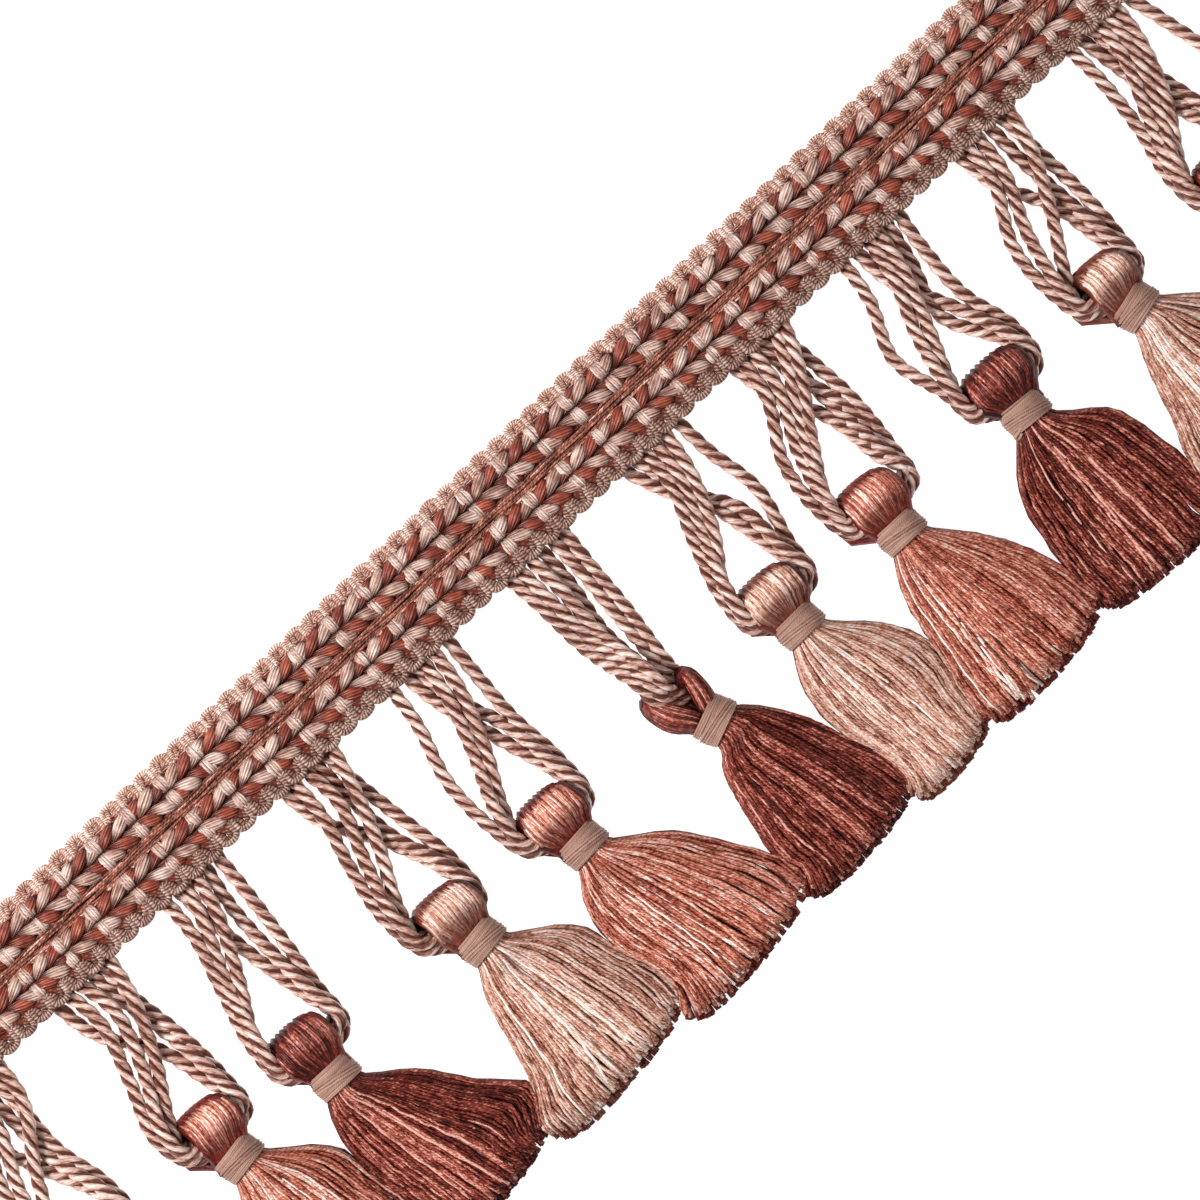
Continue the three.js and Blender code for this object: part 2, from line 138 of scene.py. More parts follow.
# Collects tubes, each a strand of yarn, thread or cord, and makes one mesh of them.
# Each point carries three traits: its strand's tone and kind, both for the colour, and its
# painted light, whose low values paint shade.
class StrandMesh:
    def __init__(self):
        self.points = []
        self.traits = []
        self.faces = []
        self.corners = []
        self.count = 0

    def add(self, lines, radii, sides, traits, flat=1.0, up=(0, 0, 1), outward=None):
        lines = np.asarray(lines, float)
        if lines.ndim == 2:
            lines = lines[None]
        strands, steps = lines.shape[:2]
        side, raised, tangent = framesAlong(lines, up)
        if outward is not None:
            side = unit(outward - (outward * tangent).sum(-1, keepdims=True) * tangent)
            raised = np.cross(tangent, side)
        radii = np.broadcast_to(radii, (strands, steps))[:, :, None, None]
        flat = np.broadcast_to(flat, (strands, steps))[:, :, None, None]
        angle = (np.arange(sides) * 2 * np.pi / sides)[None, None, :, None]
        ring = np.cos(angle) * side[:, :, None] + np.sin(angle) * flat * raised[:, :, None]
        self.points.append((lines[:, :, None] + radii * ring).reshape(-1, 3))
        traits = np.asarray(traits, float)
        if traits.ndim == 2:
            traits = traits[:, None]
        traits = np.broadcast_to(traits, (strands, steps, 3))[:, :, None]
        self.traits.append(np.broadcast_to(traits, (strands, steps, sides, 3)).reshape(-1, 3))
        lengths = np.linalg.norm(np.diff(lines, axis=1), axis=2)
        along = np.concatenate([np.zeros((strands, 1)), np.cumsum(lengths, axis=1)], axis=1)
        s, i, k = np.meshgrid(
            np.arange(strands), np.arange(steps - 1), np.arange(sides), indexing="ij"
        )
        after = (k + 1) % sides
        base = self.count + (s * steps + i) * sides
        quads = np.stack([base + k, base + after, base + sides + after, base + sides + k], axis=-1)
        here, ahead = along[:, :-1, None] + 0 * k, along[:, 1:, None] + 0 * k
        left, right = k / sides, (k + 1) / sides
        corners = np.stack([here, left, here, right, ahead, right, ahead, left], axis=-1)
        self.faces.append(quads.reshape(-1, 4))
        self.corners.append(corners.reshape(-1, 4, 2))
        first = self.count + np.arange(strands)[:, None] * steps * sides
        startCap = first + np.arange(sides)[::-1][None]
        endCap = first + (steps - 1) * sides + np.arange(sides)[None]
        for cap, length in ((startCap, along[:, :1]), (endCap, along[:, -1:])):
            self.faces.append(cap)
            flatCorners = np.stack([length + 0 * cap, 0.5 + 0 * cap], axis=-1)
            self.corners.append(flatCorners.astype(float))
        self.count += strands * steps * sides

    def make(self, name, material, replaced=()):
        mesh = bpy.data.meshes.new(name)
        points = np.concatenate(self.points) * mm
        mesh.vertices.add(len(points))
        mesh.vertices.foreach_set("co", points.astype(np.float32).ravel())
        sizes = np.concatenate([np.full(len(f), f.shape[1]) for f in self.faces])
        starts = np.concatenate([[0], np.cumsum(sizes)[:-1]])
        turns = np.concatenate([f.ravel() for f in self.faces])
        mesh.loops.add(len(turns))
        mesh.loops.foreach_set("vertex_index", turns.astype(np.int32))
        mesh.polygons.add(len(starts))
        mesh.polygons.foreach_set("loop_start", starts.astype(np.int32))
        mesh.polygons.foreach_set("use_smooth", np.ones(len(starts), bool))
        corners = np.concatenate([c.reshape(-1, 2) for c in self.corners])
        uvMap = mesh.uv_layers.new(name="along")
        uvMap.data.foreach_set("uv", corners.astype(np.float32).ravel())
        trait = mesh.attributes.new("trait", "FLOAT_VECTOR", "POINT")
        trait.data.foreach_set("vector", np.concatenate(self.traits).astype(np.float32).ravel())
        mesh.update(calc_edges=True)
        mesh.validate()
        piece = bpy.data.objects.new(name, mesh)
        bpy.context.scene.collection.objects.link(piece)
        return place(piece, material, replaced)


def place(piece, material, replaced=()):
    piece.data.materials.clear()
    piece.data.materials.append(material)
    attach(piece, "root")
    if replaced:
        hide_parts(*replaced)
    return piece


def colour(red, green, blue):
    def linear(level):
        level = level / 255
        return level / 12.92 if level <= 0.04045 else ((level + 0.055) / 1.055) ** 2.4

    return (linear(red), linear(green), linear(blue), 1.0)


# Colour stops for a ramp, from rows of a position and the shade's red, green and blue.
def stops(*rows):
    return [(row[0], colour(*row[1:])) for row in rows]


# A value inside a material. Sums on it add Math nodes.
class Value:
    def __init__(self, paint, socket):
        self.paint = paint
        self.socket = socket

    def math(self, operation, *others):
        return self.paint.node("ShaderNodeMath", {"operation": operation}, [self, *others])

    def __add__(self, other):
        return self.math("ADD", other)

    def __sub__(self, other):
        return self.math("SUBTRACT", other)

    def __rsub__(self, other):
        return self.paint.node("ShaderNodeMath", {"operation": "SUBTRACT"}, [other, self])

    def __mul__(self, other):
        return self.math("MULTIPLY", other)

    __radd__ = __add__
    __rmul__ = __mul__

    def wave(self):
        return self.math("SINE") * 0.5 + 0.5


class Paint:
    def __init__(self, name):
        self.material = bpy.data.materials.new(name)
        self.material.use_nodes = True
        self.tree = self.material.node_tree
        self.shader = self.tree.nodes["Principled BSDF"]

    # Any node: its settings first, then the values or links of its sockets.
    def node(self, kind, settings=None, inputs=(), output=0):
        made = self.tree.nodes.new(kind)
        for key, value in (settings or {}).items():
            if key == "stops":
                ramp = made.color_ramp
                while len(ramp.elements) < len(value):
                    ramp.elements.new(0.5)
                for element, (position, shade) in zip(ramp.elements, value):
                    element.position = position
                    element.color = shade
            else:
                setattr(made, key, value)
        pairs = inputs.items() if isinstance(inputs, dict) else enumerate(inputs)
        for key, value in pairs:
            self.set(made.inputs[key], value)
        return Value(self, made.outputs[output])

    def set(self, socket, value):
        if isinstance(value, Value):
            self.tree.links.new(value.socket, socket)
        else:
            socket.default_value = value

    def mix(self, factor, first, second, blend="MIX"):
        settings = {"data_type": "RGBA", "blend_type": blend}
        return self.node("ShaderNodeMix", settings, {0: factor, 6: first, 7: second}, 2)

    def ramp(self, factor, stops):
        return self.node("ShaderNodeValToRGB", {"stops": stops}, [factor])

    # Darkens a colour towards the shadow where little light reaches.
    def shaded(self, base, light, shadow):
        dim = self.ramp(light, [(0, shadow), (1, (1, 1, 1, 1))])
        return self.mix(1.0, base, dim, "MULTIPLY")

    def noise(self, vector, scale, detail=2.0):
        sockets = {"Vector": vector, "Scale": scale, "Detail": detail}
        return self.node("ShaderNodeTexNoise", None, sockets, "Fac")

    def joined(self, x, y, z=0.0):
        return self.node("ShaderNodeCombineXYZ", None, [x, y, z])

    # Place along and around a strand, and the strand's tone, kind and light.
    def strand(self):
        uv = self.node("ShaderNodeUVMap", {"uv_map": "along"})
        trait = self.node("ShaderNodeAttribute", {"attribute_name": "trait"}, output="Vector")
        split = [self.node("ShaderNodeSeparateXYZ", None, [uv], i) for i in (0, 1)]
        parts = [self.node("ShaderNodeSeparateXYZ", None, [trait], i) for i in (0, 1, 2)]
        return split + parts

    def finish(self, base, height, look):
        sockets = {"Strength": look["bump"], "Distance": look["depth"] * mm, "Height": height}
        bump = self.node("ShaderNodeBump", None, sockets)
        for key, value in (
            ("Base Color", base),
            ("Normal", bump),
            ("Roughness", look["roughness"]),
            ("Specular IOR Level", look["gloss"]),
        ):
            self.set(self.shader.inputs[key], value)
        return self.material


# What the look of every yarn starts from. The shares say how much each pattern lightens it.
yarnLook = {
    "ply": 0.95,  # length of one turn of the two plies
    "streaks": 3.0,
    "streakShare": 0.0,
    "patch": 0.3,
    "patchShare": 0.3,
    "fleck": 1.4,
    "fleckShare": 1.2,
    "windShare": 0.2,
    "toneShare": 0.5,
    "kindShare": 0.0,
    "lift": -1.0,
    "bump": 0.5,
    "depth": 0.1,
    "roughness": 0.45,
    "gloss": 0.3,
}


# Twisted yarn: two plies wind round each other, and the dye changes slowly along it.
# The tone times a large number gives each strand its own place in the noise.
def yarnMaterial(name, look):
    paint = Paint(name)
    along, around, tone, kind, light = paint.strand()
    wind = (along * (math.tau / look["ply"]) + around * (2 * math.tau) + tone * 211.0).wave()
    streak = paint.noise(paint.joined(along * 0.25, around * look["streaks"], tone * 61.0), 1.0)
    patch = paint.noise(paint.joined(along * look["patch"], tone * 97.0), 1.0)
    fleck = paint.noise(paint.joined(along * look["fleck"], around * 2.0, tone * 31.0), 1.0)
    level = tone * look["toneShare"] + patch * look["patchShare"] + fleck * look["fleckShare"]
    level = level + wind * look["windShare"] + streak * look["streakShare"]
    level = level + kind * look["kindShare"] + look["lift"]
    base = paint.shaded(paint.ramp(level, look["stops"]), light, look["shadow"])
    return paint.finish(base, wind * 0.7 + fleck * 0.3, look)


cord = {
    "diameter": 3.0,
    "plies": 3,
    "plyRadius": 0.77,
    "plyOffset": 0.76,
    "lay": 10.2,  # length of one full turn of a ply
    "step": 0.85,
    "sides": 7,
    "look": {"bump": 0.6, "depth": 0.15, "roughness": 0.5, "gloss": 0.35},
    "stops": stops(
        (0.0, 88, 46, 35), (0.2, 122, 76, 62), (0.38, 170, 124, 109),
        (0.58, 204, 165, 151), (0.9, 234, 216, 207),
    ),
    # the four places that a leg passes, from under the heading's lip to the tassel's head
    "stationY": (-8.5, -20.0, -32.0, -44.0),
    "leftZ": (1.56, 4.5, 3.9, 7.2),
    "rightZ": (1.56, 1.56, 1.56, 2.9),
}
# where the loops of a tassel turn back inside its head, as a bundle
eye = {"packRadius": 1.78, "below": 5.9, "leftZ": 6.1, "rightZ": 4.0, "inward": 0.6, "outward": 1.2}
# The tassel whose head lies on its side, and where its loops plunge into the head and turn back.
edgeOn = {
    "name": "05",
    "frontZ": 9.4,
    "backZ": 3.9,
    "plunges": [
        [(-2.9, -48.4, 8.4), (-1.5, -52.0, 5.4), (0.5, -54.2, 2.4), (1.4, -50.0, 1.6)],
        [(-1.3, -48.2, 9.4), (-0.2, -51.2, 6.4), (1.7, -53.6, 3.0), (2.9, -49.4, 2.0)],
        [(0.3, -48.0, 8.8), (1.2, -50.4, 6.4), (2.9, -52.6, 3.4), (4.1, -48.6, 2.6)],
    ],
}

# name: place along the heading, head x, head width, head top, back shift, tie x, tie y, tie turn
tasselPlaces = {
    "00": (-156, 0.6, 10.8, -46.0, 2.6, -0.6, -58.8, 5),
    "01": (-125, 0.8, 10.4, -44.8, 4.4, -0.8, -58.1, 9),
    "02": (-95, -5.7, 12.2, -46.0, 2.0, -5.8, -59.4, -1),
    "03": (-63, 2.0, 11.6, -46.6, 3.0, 2.0, -59.8, 8),
    "04": (-32, -1.2, 12.4, -46.6, 1.6, -1.0, -59.8, 5),
    "05": (0, 0.4, 12.8, -47.0, 0.0, 3.2, -59.8, 22),
    "06": (32, -2.9, 12.2, -45.0, 2.4, -3.6, -57.6, 2),
    "07": (61, -4.0, 11.6, -44.8, 3.4, -5.0, -57.9, 0),
    "08": (93, -1.8, 13.6, -44.8, 1.4, -2.6, -57.6, -4),
    "09": (124, -2.5, 10.0, -44.8, 5.0, -3.1, -57.4, 14),
    "10": (154, -0.6, 12.0, -46.0, 2.4, -1.4, -58.6, 3),
}
placeColumns = ("at", "headX", "headWidth", "headTop", "backShift", "tieX", "tieY", "tieTurn")
tassels = {name: dict(zip(placeColumns, row)) for name, row in tasselPlaces.items()}

# Each loop's left and right leg at the four places, from the tassel's place.
loops = {
    "00": [
        ((-3.6, -4.6, -9.0, -10.4), (5.0, 5.2, 4.8, 7.2)),
        ((-0.8, -0.4, -6.0, -8.6), (2.0, 2.2, 2.6, 6.0)),
        ((8.0, 6.6, -1.2, -6.8), (-6.6, -5.2, -0.4, 4.8)),
    ],
    "01": [
        ((-3.8, -2.6, -6.3, -10.4), (5.2, 5.6, 7.3, 7.8)),
        ((-1.0, 1.2, -2.7, -8.3), (2.4, 3.8, 5.9, 7.0)),
        ((7.8, 5.7, 0.6, -6.4), (-6.8, -5.2, 2.4, 5.3)),
    ],
    "02": [
        ((-6.4, -7.1, -10.6, -13.7), (7.4, 6.6, 5.3, 3.8)),
        ((-0.4, -4.1, -9.2, -12.1), (4.6, 2.4, 1.9, 2.5)),
        ((2.0, -0.7, -6.4, -12.8), (-3.4, -2.5, -1.1, 1.2)),
    ],
    "03": [
        ((-3.6, -4.0, -7.2, -9.0), (4.6, 5.6, 7.3, 8.9)),
        ((-0.7, 0.4, -3.9, -7.2), (2.1, 2.5, 3.3, 7.2)),
        ((7.4, 4.5, 0.1, -5.6), (-6.4, -5.1, 1.7, 6.2)),
    ],
    "04": [
        ((-7.4, -8.7, -12.1, -12.0), (7.6, 6.8, 6.2, 7.2)),
        ((1.2, -0.5, -4.6, -9.2), (-1.3, -0.1, 4.2, 5.9)),
        ((4.0, 2.5, -1.9, -7.8), (-4.0, -2.5, 1.0, 4.6)),
    ],
    "05": [
        ((-7.6, -6.5, -5.8, -3.2), (1.4, 0.9, -0.8, 0.4)),
        ((-4.6, -4.3, -3.6, -1.4), (4.3, 4.2, 3.4, 2.8)),
        ((-1.6, -1.3, -1.6, 0.2), (7.4, 6.4, 5.6, 4.2)),
    ],
    "06": [
        ((-1.8, -3.0, -7.7, -11.2), (6.6, 7.3, 9.1, 6.4)),
        ((0.9, -0.6, -5.5, -9.6), (-8.6, -4.4, 3.8, 4.6)),
        ((3.6, 1.8, -3.0, -10.7), (-5.4, -2.0, 1.2, 3.4)),
    ],
    "07": [
        ((-4.4, -6.0, -12.6, -14.0), (4.2, 5.4, 6.3, 5.4)),
        ((-1.8, -3.0, -8.8, -12.0), (1.4, 2.2, 2.6, 3.6)),
        ((6.0, 0.4, -6.8, -11.5), (-7.0, -5.0, 0.5, 2.2)),
        ((8.0, 2.8, -5.0, -11.9), (0.2, 1.0, 4.4, 4.4)),
    ],
    "08": [
        ((-8.2, -9.8, -14.4, -11.6), (6.8, 5.2, 4.8, 7.6)),
        ((-1.4, -3.2, -7.8, -10.3), (-5.0, -4.1, 1.4, 5.8)),
        ((1.2, -0.8, -5.0, -9.6), (3.9, 1.6, -1.5, 4.4)),
    ],
    "09": [
        ((-5.2, -6.6, -12.6, -13.4), (3.4, 4.1, 4.9, 4.4)),
        ((-2.4, -3.8, -8.7, -11.4), (0.5, 0.6, 1.6, 2.8)),
        ((6.2, 3.5, -2.2, -9.4), (-8.0, -6.8, -0.8, 1.4)),
    ],
    "10": [
        ((-7.4, -7.1, -8.1, -10.6), (7.6, 10.6, 12.6, 8.4)),
        ((0.9, -0.6, -5.3, -9.5), (-1.6, 0.0, 3.2, 5.4)),
        ((3.3, 1.8, -2.7, -8.5), (-4.6, -2.7, -0.5, 4.2)),
        ((5.6, 4.0, -0.4, -7.7), (2.4, 1.9, 1.6, 6.4)),
    ],
}


def eyeLine(name):
    tassel = tassels[name]
    y = tassel["headTop"] - eye["below"]
    meanLeft = np.mean([loop[0][-1] for loop in loops[name]])
    meanRight = np.mean([loop[1][-1] for loop in loops[name]])
    outermost = tassel["headX"] - tassel["headWidth"] / 2 - eye["outward"]
    left = (min(meanLeft + eye["inward"], outermost), y, eye["leftZ"])
    return np.array(left), np.array((meanRight, y, eye["rightZ"]))


# The points that one loop follows, down its left leg, through the eye and up its right leg.
def loopRoute(name, index):
    left, right = eyeLine(name)
    across = unit(right - left)
    upEye = np.cross(across, (0, 1, 0))
    count = len(loops[name])
    angle = math.pi / 2 - (index - (count - 1) / 2) * math.tau / count
    rise = eye["packRadius"] * math.sin(angle)
    offset = np.array((0, eye["packRadius"] * math.cos(angle), 0)) + rise * upEye
    legs = []
    for places, heights, headZ in (
        (loops[name][index][0], cord["leftZ"], edgeOn["frontZ"]),
        (loops[name][index][1], cord["rightZ"], edgeOn["backZ"]),
    ):
        points = [[x, y, z] for x, y, z in zip(places, cord["stationY"], heights)]
        points[-1][2] = headZ if name == edgeOn["name"] else points[-1][2] + rise
        legs.append(points)
    turn = edgeOn["plunges"][index] if name == edgeOn["name"] else [left + offset, right + offset]
    route = legs[0] + list(turn) + legs[1][::-1]
    return np.array(route, float) + (tassels[name]["at"], 0, 0)


def cordMaterial():
    paint = Paint("twistedCord")
    along, around, tone, kind, _ = paint.strand()
    outer = (around * math.tau).math("COSINE")  # 1 on the outside of the rope, -1 inside it
    paintedFlankLight = (around * math.tau).math("SINE")
    fibre = paint.noise(paint.joined(along * 0.5, around * 8.0, tone * 41.0), 1.6, 3.0)
    patch = paint.noise(paint.joined(along * 0.25, around * 2.0, tone * 77.0), 1.0)
    # Painted shade and light: each ply is darker towards the grooves on the rope's inside, and
    # lighter on one flank.
    level = outer * (patch * 0.7 + 0.2) + paintedFlankLight * 0.34
    level = level + fibre * 1.4 + patch * 0.5 + kind * 0.15 - 1.02
    base = paint.ramp(level, cord["stops"])
    return paint.finish(base, fibre, cord["look"])


def makeCords():
    material = cordMaterial()
    chance = np.random.default_rng(21)
    lengths = []
    for name in names:
        for index in range(len(loops[name])):
            line, length = curveThrough(loopRoute(name, index), cord["step"])
            side, raised, _ = framesAlong(line[None], (0, 0, 1))
            along = np.linspace(0, length, len(line))
            start = chance.uniform(0, math.tau)
            rope = StrandMesh()
            for ply in range(cord["plies"]):
                angle = start + math.tau * (ply / cord["plies"] - along / cord["lay"])
                outward = np.cos(angle)[:, None] * side[0] + np.sin(angle)[:, None] * raised[0]
                centre = line + cord["plyOffset"] * outward
                trait = [[chance.uniform(), chance.choice([0.0, 0.5, 1.0]), 1.0]]
                rope.add(centre, cord["plyRadius"], cord["sides"], trait, outward=outward[None])
            replaced = ["hanger_" + name] if index == 0 else []
            label = "cord_%s_%s" % (name, "abcd"[index])
            piece = rope.make(label, material, replaced)
            path = [tuple(point) for point in line * mm]
            length * mm
            cord["diameter"] * mm
            lengths.append(length)
    print("cords: %d loops, %.0f to %.0f mm" % (len(lengths), min(lengths), max(lengths)))


makeCamera()
makeCords()


heading = {
    "length": 341.0,
    "rows": (4.9, -4.5),  # middles of the two braided rows
    # cross-section of the woven ground, round from the back of the upper edge
    "outline": [
        (9.2, 0.05), (9.3, 1.9), (8.4, 3.2), (5.2, 3.9), (1.5, 3.4), (0.0, 3.3), (-1.5, 3.4),
        (-4.8, 3.9), (-8.0, 4.3), (-9.4, 4.7), (-9.4, 4.4), (-7.5, 3.3), (-7.5, 0.05),
    ],
    "rounding": 0.25,
    "smoothAngle": 40,
    "weft": 0.62,  # spacing of the threads along the ground
    "warp": 1.1,  # and across it
    "look": {"bump": 0.8, "depth": 0.2, "roughness": 0.8, "gloss": 0.2},
}
halfLength = heading["length"] / 2


# The ground is an outline in the heading's cross-section, pushed out along its length.
def makeGround():
    outline = heading["outline"]
    start = (-halfLength * mm, 0, 0)
    bpy.ops.mesh.primitive_circle_add(vertices=len(outline), radius=mm, location=start)
    ground = bpy.context.object
    ground.name = "headingGround"
    bpy.ops.object.transform_apply(location=True, rotation=True, scale=True)
    for vertex, (y, z) in zip(ground.data.vertices, outline):
        vertex.co = (-halfLength * mm, y * mm, z * mm)
    bpy.ops.object.mode_set(mode="EDIT")
    bpy.ops.mesh.select_all(action="SELECT")
    bpy.ops.mesh.edge_face_add()
    push = {"value": (heading["length"] * mm, 0, 0)}
    bpy.ops.mesh.extrude_region_move(TRANSFORM_OT_translate=push)
    bpy.ops.mesh.select_all(action="SELECT")
    bpy.ops.mesh.normals_make_consistent(inside=False)
    bpy.ops.mesh.bevel(offset=heading["rounding"] * mm, segments=2, affect="EDGES")
    bpy.ops.object.mode_set(mode="OBJECT")
    bpy.ops.object.shade_smooth_by_angle(angle=math.radians(heading["smoothAngle"]))
    bpy.ops.object.select_all(action="DESELECT")
    return place(ground, groundMaterial(), ["heading"])


def groundMaterial():
    paint = Paint("wovenGround")
    spot = paint.node("ShaderNodeTexCoord", output="Object")
    x, y, z = [paint.node("ShaderNodeSeparateXYZ", None, [spot], i) for i in (0, 1, 2)]
    weftTurn = math.tau / (heading["weft"] * mm)
    warpTurn = math.tau / (heading["warp"] * mm)
    weft = (y * weftTurn + z * weftTurn).wave()
    warp = (x * warpTurn + y * (weftTurn / 2)).wave()
    weave = weft * warp
    level = weave * 0.6 + paint.noise(spot, 900.0) * 0.5 - 0.08
    # The ground shows only in the deep gaps between the lobes; its colours are its own rust
    # darkened with painted shade.
    shades = stops(
        (0.0, 76, 26, 17), (0.45, 112, 50, 36), (0.75, 152, 90, 72), (1.0, 204, 158, 140)
    )
    return paint.finish(paint.ramp(level, shades), weave, heading["look"])


# The cross bars: a few threads over each row that press the lobes down.
bar = {
    "pitch": 9.26,
    "start": -2.6,
    "threads": 5,
    "spacing": 0.5,
    "radius": 0.34,
    "reach": 3.75,  # from a row's middle to its edge
    "z": 3.75,
    "rise": 1.45,
    "points": 8,
    "pressWidth": 1.7,
    "endGap": 1.5,
    "look": dict(
        yarnLook,
        ply=1.1,
        patch=0.5,
        fleck=2.2,
        toneShare=0.25,
        fleckShare=0.4,
        windShare=0.16,
        lift=-0.08,
        gloss=0.4,
        shadow=colour(104, 62, 50),
        stops=stops(
            (0.05, 122, 80, 68), (0.35, 188, 150, 136), (0.6, 228, 204, 192), (0.9, 250, 240, 234)
        ),
    ),
}


# How much the cross bars press on the braid at a place along the heading.
def barPull(x):
    away = (x - bar["start"] + bar["pitch"] / 2) % bar["pitch"] - bar["pitch"] / 2
    return np.exp(-((away / bar["pressWidth"]) ** 2))


def makeBars():
    chance = np.random.default_rng(41)
    bars = StrandMesh()
    t = np.linspace(0, 1, bar["points"])
    arch = np.sin(np.pi * t)
    light = 0.1 + 0.9 * arch**0.7
    first = math.ceil((-halfLength + bar["endGap"] - bar["start"]) / bar["pitch"])
    last = math.floor((halfLength - bar["endGap"] - bar["start"]) / bar["pitch"])
    lines, traits, radii = [], [], []
    for k in range(first, last + 1):
        for middle in heading["rows"]:
            lean = chance.normal(0, 0.12)
            for side in (1, -1):
                for thread in range(bar["threads"]):
                    across = (thread - (bar["threads"] - 1) / 2) * bar["spacing"]
                    x = bar["start"] + k * bar["pitch"] + across * (0.62 + 0.4 * arch)
                    x = x + lean * side * t + chance.normal(0, 0.06)
                    y = middle + side * (0.1 + bar["reach"] * t)
                    z = bar["z"] + bar["rise"] * arch**0.7 - 0.5 * t**2 - 0.22 * abs(across)
                    lines.append(np.stack([x, y, z + chance.normal(0, 0.07)], axis=1))
                    radii.append(bar["radius"] * np.interp(t, [0, 0.12, 0.88, 1], [0.7, 1, 1, 0.7]))
                    traits.append(np.stack([0 * t + chance.uniform(), 0 * t, light], axis=1))
    bars.add(lines, np.array(radii), 5, traits)
    return bars.make("headingBars", yarnMaterial("barThread", bar["look"]))


# Leaf-shaped lobes of floss that slant up and down from the middle of each row.
lobe = {
    "pitch": 3.52,
    "length": 6.5,
    "rise": 3.2,
    "radius": 1.34,
    "flat": 0.85,
    "taper": ([0, 0.15, 0.38, 0.62, 0.84, 0.95, 1], [0.14, 0.42, 0.82, 1, 0.88, 0.6, 0.2]),
    "light": ([0, 0.25, 0.5, 0.8, 1], [0.0, 0.2, 1.0, 0.95, 0.1]),
    "z": 3.25,
    "crown": 1.3,
    "pressed": 0.7,  # by the cross bars
    "sideShift": 0.55,  # in pitches, from the upward lobes to the downward ones
    "rowShift": 0.3,  # in pitches, from the upper row to the lower
    "points": 10,
    "sides": 10,
    "startGap": 1.5,
    "endGap": 0.8,
    "shortest": 2.5,  # a lobe with less than this inside the heading is left out
    "look": {"bump": 0.9, "depth": 0.3, "roughness": 0.42, "gloss": 0.5},
    "pale": stops(
        (0.1, 128, 82, 66), (0.36, 196, 154, 138), (0.6, 232, 206, 192), (0.85, 250, 238, 230)
    ),
    "rust": stops(
        (0.1, 92, 28, 17), (0.38, 146, 62, 42), (0.66, 188, 98, 72), (0.95, 226, 160, 136)
    ),
    "shadow": colour(96, 40, 30),
}


def makeLobes():
    chance = np.random.default_rng(31)
    braid = StrandMesh()
    t = np.linspace(0, 1, lobe["points"])
    radius = np.interp(t, *lobe["taper"])
    light = np.interp(t, *lobe["light"])
    crown = lobe["crown"] * np.sin(np.pi * np.clip(t * 0.94, 0, 1)) ** 0.9
    count = int(heading["length"] / lobe["pitch"]) + 1
    edge = halfLength - lobe["endGap"]
    inside = edge - lobe["shortest"]
    for row, middle in enumerate(heading["rows"]):
        for side, shift in ((1, 0.0), (-1, lobe["sideShift"])):
            lines, traits, radii = [], [], []
            for k in range(-1, count):
                along = (k + shift + lobe["rowShift"] * row) * lobe["pitch"]
                start = -halfLength - lobe["startGap"] + along
                start += chance.normal(0, 0.16)
                x = start + lobe["length"] * chance.uniform(0.94, 1.08) * t
                lift = lobe["rise"] * t**0.95 - 0.2 + chance.normal(0, 0.08)
                y = middle + side * lift
                z = lobe["z"] + crown + 0.1 * t - lobe["pressed"] * barPull(x)
                z = z + chance.normal(0, 0.08)
                if x[-1] < -inside or x[0] > inside:
                    continue
                # a lobe that is cut off ends flat against the heading's end
                lines.append(np.stack([np.clip(x, -edge, edge), y, z], axis=1))
                radii.append(lobe["radius"] * radius * chance.uniform(0.93, 1.07))
                sort = float((k + row) % 2)
                traits.append(np.stack([0 * t + chance.uniform(), 0 * t + sort, light], axis=1))
            braid.add(lines, np.array(radii), lobe["sides"], traits, flat=lobe["flat"])
    return braid.make("headingLobes", lobeMaterial())


def lobeMaterial():
    paint = Paint("braidFloss")
    along, around, tone, kind, light = paint.strand()
    ends = (around * (math.tau * 11) + tone * 40.0 + along * 0.7).wave()
    fibre = paint.noise(paint.joined(along * 0.35, around * 26.0, tone * 53.0), 1.0, 3.0)
    patch = paint.noise(paint.joined(along * 0.5, around * 3.0, tone * 19.0), 1.0)
    level = ends * 0.3 + fibre * 1.2 + patch * 0.8 + tone * 0.2 - 0.91
    base = paint.mix(kind, paint.ramp(level, lobe["pale"]), paint.ramp(level, lobe["rust"]))
    base = paint.shaded(base, light, lobe["shadow"])
    return paint.finish(base, ends * 0.6 + fibre * 0.6, lobe["look"])


# Fine yarns that run the whole length.
longYarn = {
    "radius": 0.27,
    "points": 300,
    "bundle": {"count": 11, "low": -1.6, "high": 1.5, "z": 4.0},  # between the rows
    "rowThread": {"radius": 0.17, "z": 3.75},  # down the middle of each row
    "ladders": [(8.9, 2.9), (8.4, 2.9), (-8.2, 3.9), (-8.7, 3.9)],  # y and z beside the picots
    "look": dict(
        yarnLook,
        ply=0.9,
        patchShare=0.9,
        kindShare=-0.22,
        lift=-0.86,
        roughness=0.6,
        shadow=colour(90, 60, 50),
        stops=stops(
            (0.05, 70, 34, 26), (0.32, 130, 78, 62), (0.55, 186, 110, 88), (0.85, 234, 200, 184)
        ),
    ),
}


